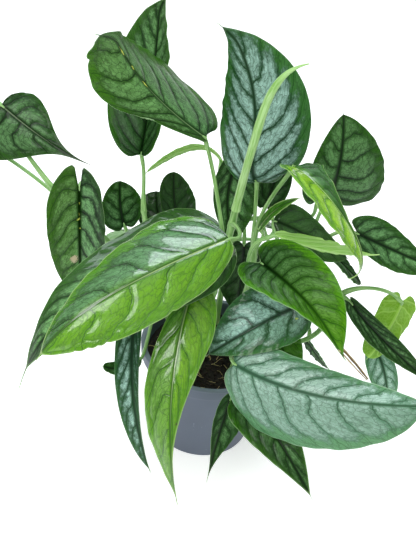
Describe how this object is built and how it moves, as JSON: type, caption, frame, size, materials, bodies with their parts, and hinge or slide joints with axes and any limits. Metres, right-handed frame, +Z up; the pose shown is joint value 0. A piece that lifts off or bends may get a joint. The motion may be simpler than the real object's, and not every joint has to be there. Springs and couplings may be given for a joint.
{
  "type": "potted monstera siltepecana",
  "caption": "Clump of young climbing-aroid vines with silvery, dark-veined heart-shaped leaves, rooted in a plain slate-grey plastic nursery pot.",
  "frame": {"origin": "centre of the flat underside of the pot, on the surface that the pot stands on", "axes": "+Z up along the pot's axis; the plant's best side, as pictured, faces -Y; +X to the viewer's right"},
  "size_m": [0.426, 0.289, 0.3793],
  "materials": {
    "pot": "matte, lightly scuffed slate grey",
    "soil": "moist dark potting mix with pale fibres",
    "stem": "smooth pale green living stem",
    "new_leaf": "smooth pale yellow-green rolled leaf",
    "twig": "dry, brown, split",
    "leaf_dark": "satin, dark green with darker veins",
    "leaf_silver": "satin, silver green between dark veins",
    "leaf_young": "glossy lime green"
  },
  "bodies": {
    "root": {"pot": "pot", "soil": "soil", "vine_left": "stem", "vine_back_left": "stem", "vine_centre": "stem", "vine_front_left": "stem", "vine_right": "stem", "vine_front_right": "stem", "vine_far_right": "stem", "vine_back": "stem", "new_leaf_roll": "new_leaf", "dead_twig": "twig", "leaf_01": "leaf_dark", "leaf_02": "leaf_dark", "leaf_03": "leaf_dark", "leaf_04": "leaf_dark", "leaf_05": "leaf_young", "leaf_06": "leaf_dark", "leaf_07": "leaf_young", "leaf_08": "leaf_silver", "leaf_09": "leaf_silver", "leaf_10": "leaf_dark", "leaf_11": "leaf_dark", "leaf_12": "leaf_dark", "leaf_13": "leaf_dark", "leaf_14": "leaf_young", "leaf_15": "leaf_dark", "leaf_16": "leaf_dark", "leaf_17": "leaf_dark", "leaf_18": "leaf_silver", "leaf_19": "leaf_silver", "leaf_20": "leaf_dark", "leaf_21": "leaf_dark", "leaf_22": "leaf_dark", "leaf_23": "leaf_dark", "leaf_24": "leaf_dark", "leaf_25": "leaf_young", "leaf_26": "leaf_silver", "leaf_27": "leaf_dark", "leaf_28": "leaf_dark", "leaf_29": "leaf_dark", "leaf_30": "leaf_dark", "leaf_31": "leaf_dark", "leaf_32": "leaf_dark", "leaf_33": "leaf_dark", "leaf_34": "leaf_dark", "leaf_35": "leaf_young", "leaf_36": "leaf_dark", "leaf_37": "leaf_dark", "leaf_38": "leaf_dark", "leaf_39": "leaf_dark", "leaf_40": "leaf_dark"}
  },
  "joints": []
}
